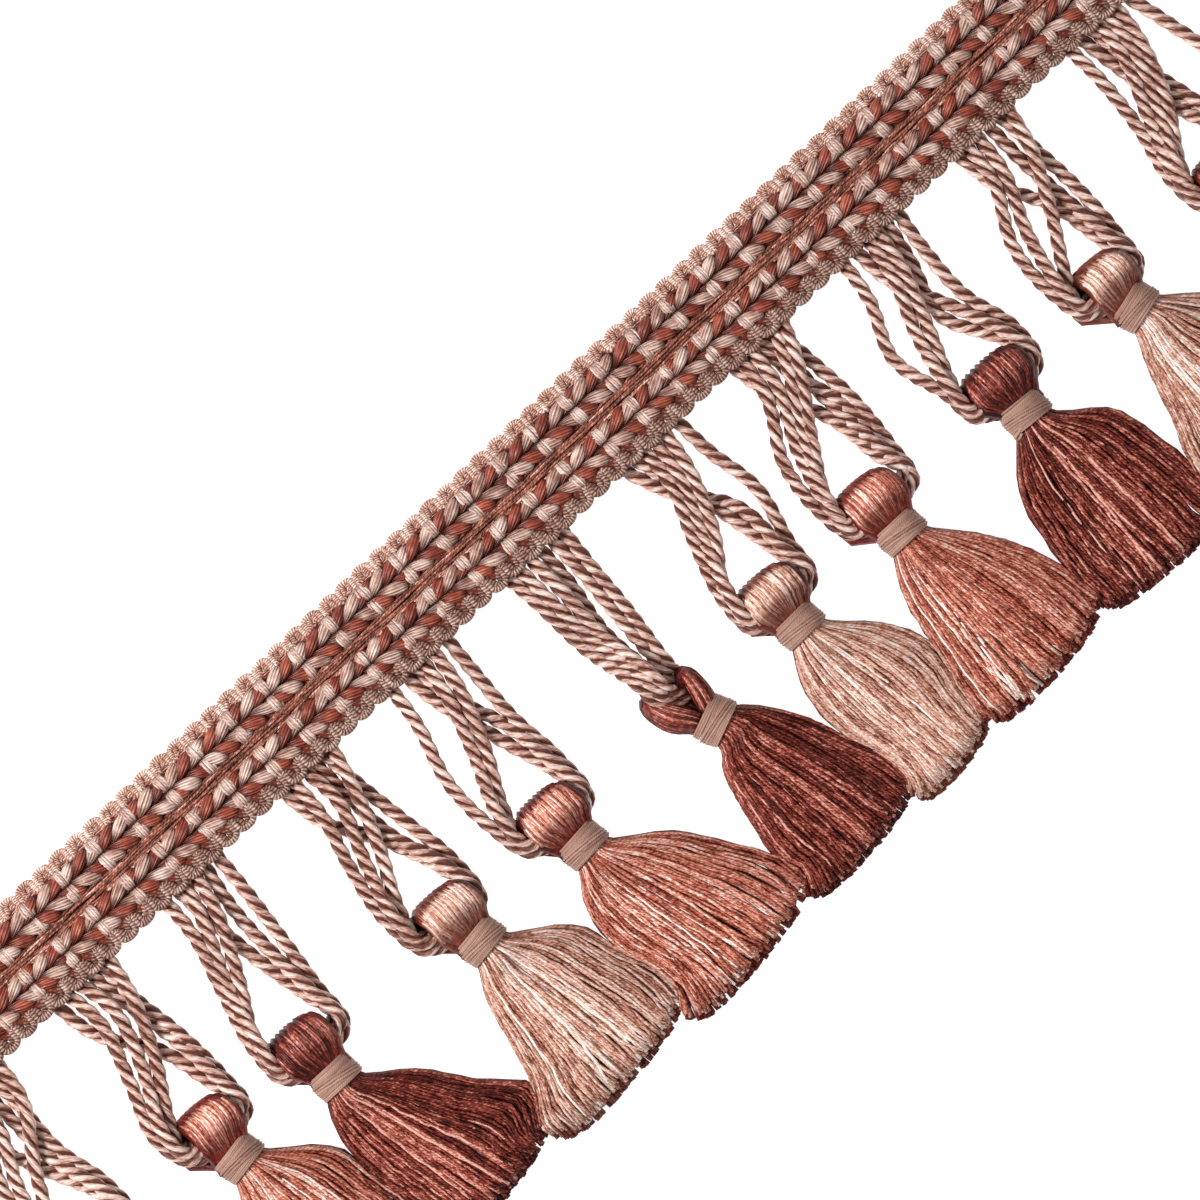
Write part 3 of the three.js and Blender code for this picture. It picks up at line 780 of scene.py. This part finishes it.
def makeLongYarns():
    chance = np.random.default_rng(51)
    threads = StrandMesh()
    x = np.linspace(-halfLength, halfLength, longYarn["points"])
    lines, traits, radii = [], [], []

    def add(y, z, radius, kind, light):
        lines.append(np.stack([x, y, z], axis=1))
        radii.append(np.full(len(x), radius))
        traits.append((chance.uniform(), kind, light))

    bundle, half = longYarn["bundle"], longYarn["bundle"]["high"]
    for i, y in enumerate(np.linspace(bundle["low"], half, bundle["count"])):
        drift = sum(
            chance.uniform(0.08, 0.2) * np.sin(x / chance.uniform(1.2, 5) + chance.uniform(0, 6))
            for _ in range(3)
        )
        wave = 0.16 * np.sin(x / 1.3 + chance.uniform(0, 6))
        z = bundle["z"] - 0.25 * (y / half) ** 2 + wave + 0.25 * (i % 2)
        add(y + drift, z, longYarn["radius"], 1.0 - abs(y) / half, 1.0)
    # Painted shade: the thread down each row's middle gets a painted light of only 0.1.
    for middle in heading["rows"]:
        y = middle + 0.06 * np.sin(x / 1.9) + 0.05 * np.sin(x / 0.7)
        z = longYarn["rowThread"]["z"] + 0.2 * barPull(x) + 0.05 * np.sin(x / 0.8)
        add(y, z, longYarn["rowThread"]["radius"], 0.8, 0.1)
    # Painted shade: the ladder yarns beside the picots get a painted light of 0.7.
    for y, z in longYarn["ladders"]:
        y = y + 0.08 * np.sin(x / 0.9 + chance.uniform(0, 6))
        z = z + 0.12 * np.sin(x / 0.74 + chance.uniform(0, 6))
        add(y, z, longYarn["radius"], -0.5, 0.7)
    threads.add(lines, np.array(radii), 5, traits)
    return threads.make("headingYarns", yarnMaterial("longYarn", longYarn["look"]))


# Looped edges: a gimp cord that runs to and fro, and a finer loop inside each of its turns.
picot = {
    "pitch": 4.63,
    "root": 8.2,
    "turn": 10.25,
    "outer": {"radius": 1.8, "dome": 0.85, "cord": 0.74},
    "inner": {"radius": 0.65, "dome": 0.35, "cord": 0.68},
    "innerIn": 0.1,  # the finer loop turns this much short of the other, and lies lower
    "innerDrop": 0.15,
    "upperZ": ([8.2, 9.2, 10.2, 11.3], [3.2, 2.5, 1.6, 1.1]),  # height by distance out
    "lowerZ": ([8.2, 9.4, 11.3], [4.5, 5.0, 4.9]),
    "step": 0.6,
    "sides": 6,
    "flat": 0.9,
    "wobble": 0.05,
    "look": {"bump": 0.8, "depth": 0.2, "roughness": 0.6, "gloss": 0.3},
    "warm": stops(
        (0.0, 126, 76, 60), (0.3, 188, 136, 116), (0.52, 222, 188, 172), (0.8, 250, 242, 236)
    ),
    "beige": stops(
        (0.0, 80, 44, 34), (0.3, 132, 94, 80), (0.55, 178, 142, 128), (0.85, 222, 202, 190)
    ),
}


def picotLine(side, turn, radius, dome):
    pitch = picot["pitch"]
    count = int(heading["length"] / pitch)
    between = (pitch - 2 * radius) / 2
    arc = np.linspace(0, np.pi, 9)
    xs, ys = [], []
    for k in range(count):
        middle = -count * pitch / 2 + (k + 0.5) * pitch
        xs += list(middle - radius * np.cos(arc))
        ys += list(turn + dome * np.sin(arc))
        if k < count - 1:
            xs += list(middle + radius + between * (1 - np.cos(arc)))
            ys += list(picot["root"] + between - between * np.sin(arc))
    line = np.stack([xs, ys, 0 * np.array(xs)], axis=1)
    line, _ = evenSteps(line, picot["step"])
    line[:, 1] *= side
    return line


def makePicots():
    chance = np.random.default_rng(61)
    edge = StrandMesh()
    for side, heights in ((1, picot["upperZ"]), (-1, picot["lowerZ"])):
        for kind, loop in enumerate((picot["outer"], picot["inner"])):
            turn = picot["turn"] - picot["innerIn"] * kind
            line = picotLine(side, turn, loop["radius"], loop["dome"])
            line[:, 2] = np.interp(abs(line[:, 1]), *heights) - picot["innerDrop"] * kind
            wobble = chance.normal(0, picot["wobble"], (len(line) // 6 + 2, 3))
            places = np.linspace(0, len(wobble) - 1, len(line))
            line += splineRows(wobble, np.arange(len(wobble)), places)
            sort = kind + (2.0 if side < 0 else 0.0)
            trait = [(chance.uniform(), sort, 1.0)]
            edge.add(line, loop["cord"], picot["sides"], trait, flat=picot["flat"])
    return edge.make("headingPicots", picotMaterial())


def picotMaterial():
    paint = Paint("gimpCord")
    along, around, tone, kind, _ = paint.strand()
    wrap = (along * (math.tau / 0.6) + around * math.tau).wave()
    fibre = paint.noise(paint.joined(along * 1.1, around * 4.0, tone * 31.0), 1.5)
    patch = paint.noise(paint.joined(along * 0.35, tone * 11.0), 1.0)
    lower = kind.math("GREATER_THAN", 1.5)
    within = kind - lower * 2.0
    level = wrap * 0.5 + fibre * 0.9 + patch * 0.7 - within * 0.2 - 0.66
    base = paint.mix(lower, paint.ramp(level, picot["warm"]), paint.ramp(level, picot["beige"]))
    return paint.finish(base, wrap, picot["look"])


makeGround()
makeLobes()
makeBars()
makeLongYarns()
makePicots()
print("heading made")


tie = {
    "height": 5.2,
    "radius": 4.72,
    "bulge": 0.2,
    "thread": 0.28,
    "turns": 15,
    "crossings": 3,  # slanting turns over the others
    "steps": 25,
    "z": 5.05,
    "neck": 3.9,
    # the one tie whose thread end shows: a small knot at its left
    "tailOf": "08",
    "tail": [
        (-4.2, -59.0, 9.0), (-6.2, -59.6, 8.6), (-7.6, -60.0, 7.6),
        (-7.2, -60.6, 7.2), (-6.0, -60.2, 8.3),
    ],
    "look": dict(
        yarnLook,
        ply=0.5,
        toneShare=0.3,
        fleckShare=0.35,
        windShare=0.05,
        lift=0.05,
        roughness=0.5,
        gloss=0.25,
        shadow=colour(120, 90, 80),
        stops=stops(
            (0.0, 106, 70, 58), (0.35, 146, 108, 94), (0.65, 172, 134, 118), (1.0, 206, 170, 154)
        ),
    ),
}


def tieAxes(tassel):
    turn = math.radians(tassel["tieTurn"])
    across = np.array((math.cos(turn), math.sin(turn), 0))
    upward = np.array((-math.sin(turn), math.cos(turn), 0))
    centre = np.array((tassel["at"] + tassel["tieX"], tassel["tieY"], tie["z"]))
    return centre, across, upward


def makeTies():
    material = yarnMaterial("tieThread", tie["look"])
    chance = np.random.default_rng(71)
    angle = np.linspace(0, math.tau, tie["steps"])
    for name in names:
        centre, across, upward = tieAxes(tassels[name])
        winding = StrandMesh()
        for thread in range(tie["turns"] + tie["crossings"]):
            extra = thread - tie["turns"]
            if extra >= 0:
                level, lean, proud, slope = -0.25 + 0.12 * extra, 0.9, 0.2, angle - 1.2
            else:
                level, proud, slope = (thread + 0.5) / tie["turns"] - 0.5, 0.0, angle * 0.5
                lean = chance.normal(0, 0.08)
            radius = tie["radius"] + tie["bulge"] * math.cos(math.pi * level)
            radius = radius + chance.normal(0, 0.02) + proud
            height = level * tie["height"] + lean * np.sin(slope)
            ring = (
                centre
                + radius * np.cos(angle)[:, None] * across
                + height[:, None] * upward
                + (radius - 0.1) * np.sin(angle)[:, None] * np.array((0, 0, 1))
            )
            winding.add(ring, tie["thread"], 5, [(chance.uniform(), 0.0, 1.0)], up=upward)
        if name == tie["tailOf"]:
            tail, _ = curveThrough(np.array(tie["tail"]) + (tassels[name]["at"], 0, 0), 0.3)
            winding.add(tail[None], tie["thread"] * 1.3, 6, [(0.9, 0.0, 1.0)])
        winding.make("tie_" + name + "_thread", material, ["tie_" + name])


# The yarns' colours, shared by the heads and the skirts.
yarnStops = {
    "cream": stops(
        (0.0, 124, 66, 48), (0.28, 188, 130, 108), (0.52, 218, 172, 152),
        (0.78, 240, 214, 200), (1.0, 253, 246, 240),
    ),
    "coral": stops(
        (0.0, 104, 38, 27), (0.28, 172, 90, 70), (0.54, 214, 136, 112),
        (0.8, 240, 200, 182), (1.0, 253, 244, 238),
    ),
    "rust": stops(
        (0.0, 44, 8, 4), (0.3, 96, 30, 21), (0.56, 146, 66, 51),
        (0.8, 200, 124, 106), (1.0, 234, 176, 158),
    ),
}
yarnShadow = {
    "cream": colour(124, 72, 57),
    "coral": colour(122, 56, 43),
    "rust": colour(142, 78, 66),
}


def yarnMaterials(finish, look):
    made = {}
    for yarn in yarns:
        own = dict(look, stops=yarnStops[yarn], shadow=yarnShadow[yarn])
        made[yarn] = yarnMaterial(yarn + finish, own)
    return made


headShape = {
    "depth": 10.6,
    "middleZ": 5.55,
    "foldEnd": 0.42,  # share of the head's length taken by the rounded fold
    "overlap": 1.12,  # how far the strands run, where 1 is the tie's upper edge
    "gather": (0.6, 0.98),  # where they draw together for the tie
    "width": ([0, 0.15, 0.5, 0.85, 1.0, 1.12], [0.9, 0.97, 1.0, 0.93, 0.8, 0.66]),
    "light": ([0, 0.06, 0.16, 0.42, 0.62, 1], [0, 0.3, 1, 1, 0.25, 0.0]),
    # painted shade: the strands of the fold's back half get less painted light
    "backHalfPaintedLight": 0.6,
    # each layer from the outer in: strands, share of the full depth, radius, light
    "layers": [(38, 1.0, 0.34, 1.0), (22, 0.88, 0.55, 0.3), (10, 0.74, 1.0, 0.0)],
    "steps": 22,
    "sides": 4,
    "look": dict(
        yarnLook,
        ply=30.0,
        streaks=9.0,
        streakShare=0.9,
        fleck=1.5,
        toneShare=0.6,
        windShare=0.0,
        bump=0.4,
        depth=0.08,
        roughness=0.42,
    ),
}


# The head: strands run up from the tie, over the fold and down behind, round the cords.
def headLines(name, across, layer):
    tassel = tassels[name]
    centre, _, tieUp = tieAxes(tassel)
    theta = np.linspace(0, math.pi, headShape["steps"])[None]
    s = across[:, None]
    down = headShape["overlap"] * (1 - np.sin(theta))  # 0 at the fold, 1 at the tie
    front = np.cos(theta)
    curl = np.clip(down / headShape["foldEnd"], 0, 1)
    rounding = np.sqrt(np.clip(1 - (1 - curl) ** 2, 0, 1))
    depth = headShape["depth"] / 2 * rounding * layer
    width = np.interp(down, *headShape["width"]) * tassel["headWidth"] / 2
    neck = centre + tieUp * (tie["height"] / 2)
    topX = tassel["at"] + tassel["headX"]
    middleX = topX + (neck[0] - topX) * np.clip(down, 0, 1) ** 2.2
    gather = ease(*headShape["gather"], down)
    width = width + (1.04 * tie["neck"] - width) * gather
    side = np.sign(front)
    z = headShape["middleZ"] + side * depth * (1 - 0.32 * s**2)
    neckZ = tie["z"] + side * tie["neck"] * 0.98 * np.sqrt(1 - 0.86 * s**2) * (0.6 + 0.4 * layer)
    z = z + (neckZ - z) * gather
    behind = (1 - side * rounding) / 2 * (1 - gather)
    x = middleX + s * width - tassel["backShift"] * behind
    length = tassel["headTop"] - neck[1]
    y = tassel["headTop"] - 0.35 * s**2 - 0.9 * s**8 - length * down
    y = y + s * width * math.tan(math.radians(tassel["tieTurn"])) * gather
    return np.stack([x, y, z + 0 * s], axis=-1), down, front


# The head that lies on its side: its loop stands open towards the viewer.
sideHead = {
    # points of its arch from the tassel's place, with the breadth and height there
    "arch": [
        (0.43, -58.3, 5.1, 2.0, 3.2), (-0.6, -56.6, 5.6, 2.3, 3.7), (-2.6, -54.0, 6.0, 2.7, 4.0),
        (-3.75, -51.6, 6.0, 2.35, 3.7), (-4.35, -49.6, 5.8, 1.8, 3.0), (-4.2, -48.2, 4.8, 1.2, 2.2),
        (-2.6, -48.4, 3.2, 1.0, 1.5), (-0.6, -50.6, 2.7, 1.0, 1.3), (1.6, -52.4, 3.4, 1.0, 1.3),
        (3.4, -50.8, 4.4, 0.9, 1.3), (4.8, -48.6, 5.0, 0.9, 1.7), (5.4, -49.6, 5.6, 1.2, 2.5),
        (5.3, -51.6, 6.0, 1.55, 3.3), (5.05, -53.6, 5.9, 1.75, 3.6), (4.5, -55.8, 5.4, 1.9, 3.5),
        (4.04, -57.4, 5.1, 1.9, 3.2),
    ],
    # painted light along the arch, dark at its ends and in its middle, and painted shade on its
    # underside
    "light": ([0, 0.1, 0.2, 0.4, 0.6, 0.8, 0.9, 1], [0.3, 0.8, 1, 0.3, 0.3, 1, 0.8, 0.3]),
    "undersidePaintedLight": 0.4,
    "steps": 36,
    # yarns between the two legs of the arch, just above the tie, painted in full shade
    "fork": [(1.8, -53.7, 3.2), (2.1, -56.0, 4.0), (2.6, -58.4, 4.8)],
    "forkRadius": 1.15,
}


def sideHeadLines(across, layer, chance):
    arch = np.array(sideHead["arch"])
    arch[:, 0] += tassels[edgeOn["name"]]["at"]
    knots = distances(arch[:, :3], 0.5)
    t = np.linspace(0, 1, sideHead["steps"])
    shape = splineRows(arch, knots, t * knots[-1])
    line = shape[:, :3]
    tangent = unit(np.gradient(line, axis=0))
    out = unit(np.stack([-tangent[:, 1], tangent[:, 0], 0 * t], axis=1))
    around = across * math.pi
    reach, tall = shape[:, 3] * layer, shape[:, 4] * layer
    lines = (
        line[None]
        + (np.cos(around)[:, None] * reach)[:, :, None] * out[None]
        + (np.sin(around)[:, None] * tall)[:, :, None] * np.array((0, 0, 1))
    )
    lines[:, :, :2] += chance.normal(0, 0.08, (len(across), 1, 2))
    under = np.where(np.sin(around) < -0.2, sideHead["undersidePaintedLight"], 1.0)
    return lines, np.interp(t, *sideHead["light"]) * under[:, None]


def makeHeads():
    materials = yarnMaterials("Floss", headShape["look"])
    chance = np.random.default_rng(81)
    for i, name in enumerate(names):
        head = StrandMesh()
        onSide = name == edgeOn["name"]
        for strands, layer, radius, dim in headShape["layers"]:
            across = np.linspace(-0.97, 0.97, strands) + chance.normal(0, 0.012, strands)
            if onSide:
                lines, light = sideHeadLines(across, layer, chance)
                light = light * dim
            else:
                lines, down, front = headLines(name, across, layer)
                wave = chance.uniform(0, 6, (strands, 1))
                lines[:, :, 0] += 0.12 * np.sin(down * 7 + wave)
                lines[:, :, 2] += chance.normal(0, 0.1, (strands, 1)) * ease(0, 0.2, down)
                light = np.interp(down, *headShape["light"])
                light = light * np.where(front < 0, headShape["backHalfPaintedLight"], 1.0) * dim
            tone = np.broadcast_to(chance.uniform(0, 1, (strands, 1)), lines.shape[:2])
            traits = np.stack([tone, 0 * tone, light + 0 * tone], axis=-1)
            head.add(lines, radius, headShape["sides"], traits, up=(0, 0.2, 1))
        if onSide:
            fork, _ = curveThrough(np.array(sideHead["fork"]) + (tassels[name]["at"], 0, 0), 0.5)
            # Painted shade: the fork's yarns get no painted light.
            head.add(fork[None], sideHead["forkRadius"], 8, [(0.2, 0.0, 0.0)])
        yarn = yarns[i % 3]
        head.make("head_" + name, materials[yarn], ["tassel_" + name])


skirt = {
    # under the tie: how far down, half the width, half the depth, how much lower in height
    "shoulders": [(0.0, 3.315, 3.315, 0.0), (2.7, 3.9, 3.9, 0.0), (4.3, 5.1, 4.2, 0.25)],
    "levels": (-67.6, -79.6, -88.8, -94.6),  # the last row of controls is the hem
    "depths": (6.4, 4.6, 3.6, 3.1, 2.8),
    "lapShares": (0, 0.15, 0.7, 1, 1),
    "hemCrown": 1.3,  # the hem's middle hangs lower and its corners higher
    "cornerRise": 2.6,
    # each layer from the back to the front: yarns, place in the depth, radius, painted light,
    # extra length and how much that varies, and how much painted shade darkens the ends
    "layers": [
        (42, 0.06, 0.55, 0.15, 1.5, 0.13, 1.0),
        (42, 0.32, 0.5, 0.35, 1.3, 0.16, 1.0),
        (42, 0.58, 0.42, 0.7, 0.3, 0.4, 0.1),
        (54, 0.8, 0.35, 0.9, -0.3, 0.4, 0.1),
        (58, 0.95, 0.33, 1.0, -0.7, 0.45, 0.1),
    ],
    "taper": ([0, 3, 7, 16], [0.7, 0.84, 0.96, 1.0]),
    "steps": 18,
    "sides": 4,
    "whiteShare": 0.3,
    "look": dict(
        yarnLook,
        patchShare=0.95,
        fleckShare=1.25,
        kindShare=0.36,
        lift=-1.02,
        roughness=0.55,
        gloss=0.25,
    ),
}
# left and right edges of each skirt at those levels and at the hem, then the hem's left and right y
skirtEdges = {
    "00": (-8.0, 12.0, -10.8, 16.4, -12.2, 17.8, -12.6, 18.2, -12.0, 17.0, -99.2, -97.0),
    "01": (-7.6, 12.4, -10.8, 16.0, -12.2, 17.4, -12.4, 17.8, -11.8, 17.0, -99.8, -97.4),
    "02": (-12.6, 4.4, -13.6, 14.2, -12.2, 21.6, -11.8, 18.2, -11.6, 16.6, -99.8, -95.8),
    "03": (-4.2, 14.4, -7.6, 20.6, -10.0, 23.2, -13.4, 23.2, -12.2, 20.6, -100.4, -96.2),
    "04": (-8.0, 10.4, -10.0, 20.0, -7.4, 25.0, -7.4, 26.0, -9.6, 23.4, -101.0, -96.8),
    "05": (-1.7, 14.0, -5.2, 19.4, -6.6, 22.4, -5.6, 22.8, -7.4, 19.6, -99.4, -96.4),
    "06": (-11.2, 7.6, -11.8, 13.2, -9.2, 11.6, -8.8, 11.0, -10.4, 10.0, -99.6, -97.2),
    "07": (-12.9, 4.7, -15.4, 11.6, -17.0, 13.6, -17.6, 13.8, -17.0, 11.6, -99.0, -96.4),
    "08": (-13.2, 9.0, -17.0, 13.2, -18.0, 14.4, -17.8, 14.4, -16.2, 12.0, -97.8, -98.6),
    "09": (-9.2, 11.4, -13.0, 16.6, -16.2, 19.0, -16.2, 19.4, -14.6, 18.0, -98.6, -96.8),
    "10": (-9.4, 9.0, -12.4, 13.2, -10.4, 15.0, -10.0, 15.4, -10.0, 14.6, -99.2, -97.2),
}
# how far the top yarns lap over the neighbour on the left and on the right, where they do
skirtLaps = {
    "00": (0.6, 0.6),
    "01": (0.2, 1.0),
    "03": (1.4, 1.2),
    "04": (0.0, 1.2),
    "05": (0.0, 1.6),
    "07": (1.2, 1.0),
    "09": (0.8, 0.6),
    "10": (0.4, 0.6),
}


# Where each yarn of a layer passes: s is its place from the left edge, -1, to the right, 1, and
# q its place from the back, 0, to the front, 1.
def skirtControls(name, spread, cross, q, hemShift):
    tassel = tassels[name]
    centre, across, upward = tieAxes(tassel)
    at, edges, lap = tassel["at"], skirtEdges[name], skirtLaps.get(name, (0.0, 0.0))
    widest = (min(edges[6], edges[8]), max(edges[7], edges[9]))
    controls = []
    s = np.clip(spread - 0.5 * cross, -1, 1)
    span = np.sqrt(1 - s**2)
    for drop, half, deep, lower in skirt["shoulders"]:
        point = centre + (s * half)[:, None] * across - drop * upward
        point[:, 2] = tie["z"] - lower + (2 * q - 1) * deep * span
        controls.append(point)
    topY, topHalf = centre[1] - drop, half * across[0]
    hemY = (edges[10] + edges[11]) / 2
    hem = len(skirt["levels"])
    for k, (level, depth) in enumerate(zip((*skirt["levels"], hemY), skirt["depths"])):
        s = np.clip(spread + (0.25 * k - 0.3) * cross, -1, 1)
        span = np.sqrt(1 - s**2)
        fall = (level - topY) / (hemY - topY)
        reach = (s + 1) / 2
        hemX = at + widest[0] + (widest[1] - widest[0]) * reach
        x = centre[0] + topHalf * s + (hemX - centre[0] - topHalf * s) * fall
        for edge, side in enumerate((-1, 1)):
            straight = centre[0] + side * topHalf
            straight += (at + widest[edge] - straight) * fall
            bulge = at + (widest[edge] if k == hem else edges[2 * k + edge]) - straight
            x = x + np.where(s * side > 0, bulge * np.abs(s) ** 1.5, 0)
            lapped = side * s**6 * lap[edge] * q
            x = x + np.where(s * side > 0, lapped, 0) * skirt["lapShares"][k]
        y = np.full(len(s), level)
        if k == hem:
            y = edges[10] + (edges[11] - edges[10]) * reach - skirt["hemCrown"] * (1 - s**2)
            y = y + hemShift + skirt["cornerRise"] * np.abs(s) ** 9
        z = depth / 2 + (2 * q - 1) * (depth / 2 - 0.15) * (0.35 + 0.65 * span)
        controls.append(np.stack([x, y, z + 0.3], axis=1))
    return np.stack(controls)


def makeSkirts():
    materials = yarnMaterials("Yarn", skirt["look"])
    for i, name in enumerate(names):
        chance = np.random.default_rng(900 + i)
        strands = StrandMesh()
        for count, where, thick, paintedLayerLight, longer, ragged, endShade in skirt["layers"]:
            s = np.linspace(-1, 1, count) + chance.normal(0, 0.014, count)
            s = np.clip(s, -1, 1)
            q = where + chance.uniform(-0.06, 0.05, count)
            hemShift = chance.normal(0, ragged, count) - longer
            cross = chance.normal(0, 0.09, count)
            controls = skirtControls(name, s, cross, q, hemShift)
            knots = distances(controls.mean(1))
            at = knots[-1] * np.linspace(0, 1, skirt["steps"]) ** 1.1
            lines = splineRows(controls, knots, at).transpose(1, 0, 2)
            fall = ease(2.5, 14, at)[None]
            phase = chance.uniform(0, math.tau, (count, 1, 4))
            length = chance.uniform(4.5, 9.0, (count, 1))
            for axis, size in ((0, 0.16), (2, 0.14)):
                wave = np.sin(at[None] / length * math.tau + phase[:, :, axis])
                lines[:, :, axis] += size * wave * fall
            lines[:, :, 2] = np.maximum(lines[:, :, 2], thick + 0.02)
            radius = np.interp(at, *skirt["taper"]) * thick
            radius = radius * chance.uniform(0.85, 1.12, (count, 1))
            tone = np.broadcast_to(chance.uniform(0, 1, (count, 1)), lines.shape[:2])
            share = skirt["whiteShare"] * (0.2 + np.exp(-(((s + 0.25) / 0.35) ** 2)))
            white = (chance.uniform(0, 1, count) < share)[:, None] * 1.0 + 0 * tone
            # Painted shade: yarns towards the right edge are darker, and a little towards the left
            # edge.
            side = 1 - 0.35 * ease(0.3, 1.0, s) - 0.15 * ease(-0.6, -1.0, s)
            # Painted shade: the ends of the back layers, which hang below the front ones, are
            # darkened.
            hemShade = endShade * ease(0.86, 0.97, at / at[-1])
            light = paintedLayerLight * side[:, None] * (1 - hemShade)[None]
            traits = np.stack([tone, white, light], axis=-1)
            strands.add(lines, radius, skirt["sides"], traits)
        yarn = yarns[i % 3]
        strands.make("skirt_" + name, materials[yarn], ["tassel_" + name])


makeTies()
makeHeads()
makeSkirts()
print("tassels made")


studio = {
    "floorSize": 12.0,
    "floorLevel": -0.02,
    "world": 0.38,
    "floorGlow": 0.85,
    "key": {"from": (-0.75, 0.5, 1.0), "size": 0.45, "power": 21.5},
    "fill": {"from": (0.7, -0.5, 1.0), "size": 1.0, "power": 2.0},
}


def makeStudio():
    level = studio["floorLevel"] * mm
    bpy.ops.mesh.primitive_plane_add(size=studio["floorSize"], location=(0, 0, level))
    floor = bpy.context.object
    floor.name = "floor"
    bpy.ops.object.transform_apply(location=True, rotation=True, scale=True)
    paint = Paint("paleFloor")
    shader = paint.shader.inputs
    paint.set(shader["Base Color"], (0.6, 0.6, 0.6, 1))
    paint.set(shader["Roughness"], 0.9)
    paint.set(shader["Specular IOR Level"], 0.1)
    paint.set(shader["Emission Color"], (1, 1, 1, 1))
    paint.set(shader["Emission Strength"], studio["floorGlow"])
    floor.data.materials.append(paint.material)
    world = bpy.data.worlds.new("softStudio")
    world.use_nodes = True
    world.node_tree.nodes["Background"].inputs["Color"].default_value = (1, 1, 1, 1)
    world.node_tree.nodes["Background"].inputs["Strength"].default_value = studio["world"]
    bpy.context.scene.world = world
    for name in ("key", "fill"):
        lamp = studio[name]
        light = bpy.data.lights.new(name + "Light", "AREA")
        light.shape = "SQUARE"
        light.size = lamp["size"]
        light.energy = lamp["power"]
        source = bpy.data.objects.new(name + "Light", light)
        bpy.context.scene.collection.objects.link(source)
        source.location = lamp["from"]
        aim = -Vector(lamp["from"])
        source.rotation_euler = aim.to_track_quat("-Z", "Y").to_euler()
    bpy.context.scene.view_settings.view_transform = "Standard"


makeStudio()
shown = [piece.data for piece in bpy.data.objects if piece.type == "MESH" and not piece.hide_render]
triangles = [len(mesh.loops) - 2 * len(mesh.polygons) for mesh in shown]
print("studio made:", sum(triangles), "triangles, largest piece", max(triangles))
